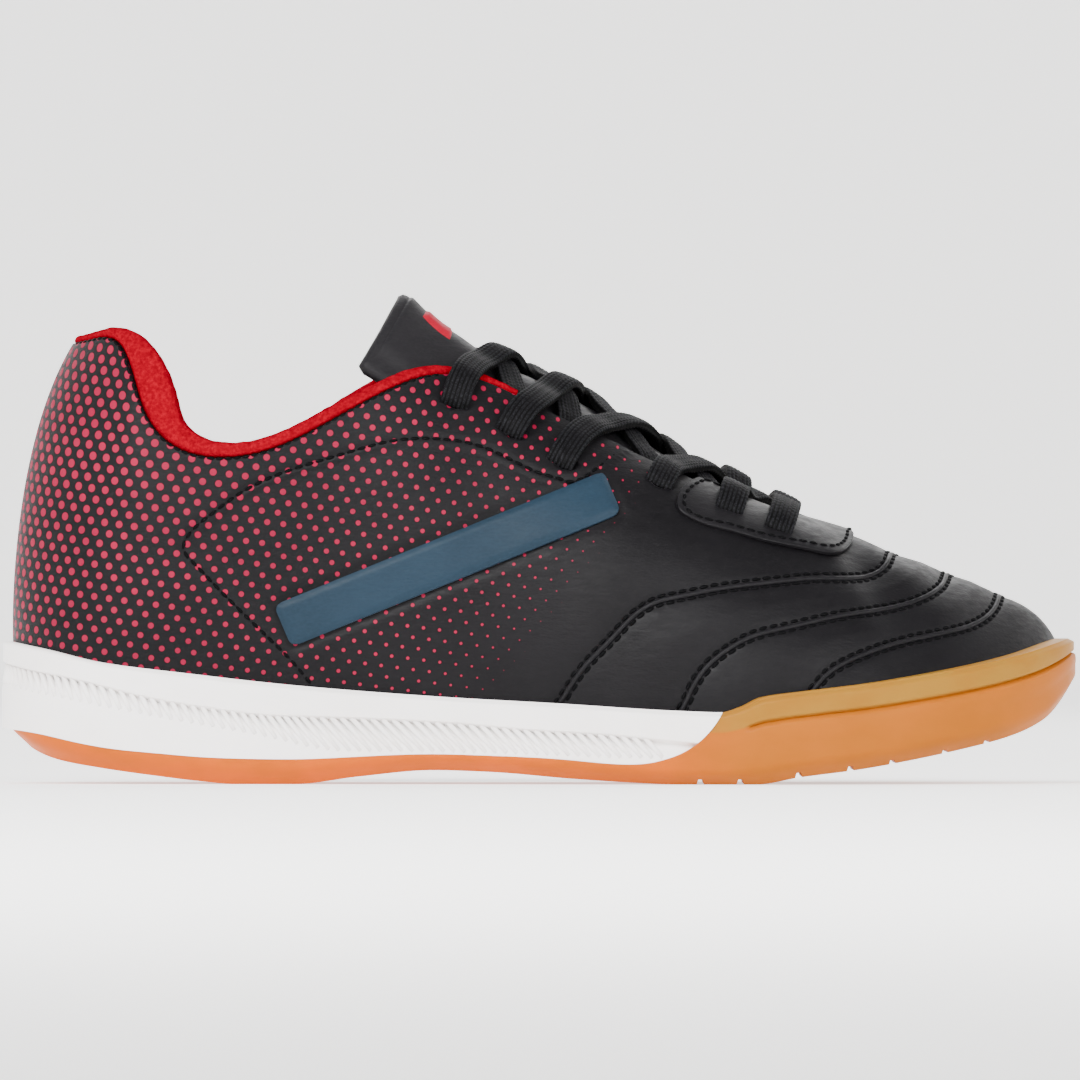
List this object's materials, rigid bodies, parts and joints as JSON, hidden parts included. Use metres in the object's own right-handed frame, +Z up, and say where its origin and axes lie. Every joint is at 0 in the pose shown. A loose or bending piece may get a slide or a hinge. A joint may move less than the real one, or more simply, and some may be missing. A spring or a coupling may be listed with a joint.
{
  "type": "indoor soccer shoe",
  "caption": "Low-cut laced indoor soccer shoe for the right foot: black upper with a padded red collar, white grooved midsole and gum outsole.",
  "frame": {"origin": "on the floor, under the middle of the shoe's box", "axes": "+X along the shoe towards the toe, +Y towards the inner (medial) side, +Z up"},
  "size_m": [0.23, 0.0844, 0.104],
  "materials": {
    "upper_leather": "fine-grained matt synthetic leather",
    "tongue_leather": "fine-grained matt synthetic leather",
    "stay_leather": "fine-grained matt synthetic leather",
    "band_leather": "raised satin synthetic leather, slate blue",
    "lining_textile": "red open knit over a foam pad",
    "insole_textile": "matt woven cover over foam",
    "midsole_foam": "white moulded foam, satin",
    "outsole_gum": "amber gum rubber, satin",
    "lace_braid": "flat black braid"
  },
  "bodies": {
    "root": {"outsole": "outsole_gum", "midsole": "midsole_foam", "insole": "insole_textile", "upper": "upper_leather", "collar_cuff": "lining_textile", "tongue": "tongue_leather", "vamp_stay": "stay_leather", "quarter_band_outer": "band_leather", "quarter_band_inner": "band_leather", "lace_cross_1": "lace_braid", "lace_cross_2": "lace_braid", "lace_cross_3": "lace_braid", "lace_cross_4": "lace_braid", "lace_cross_5": "lace_braid", "lace_bar": "lace_braid"}
  },
  "joints": []
}
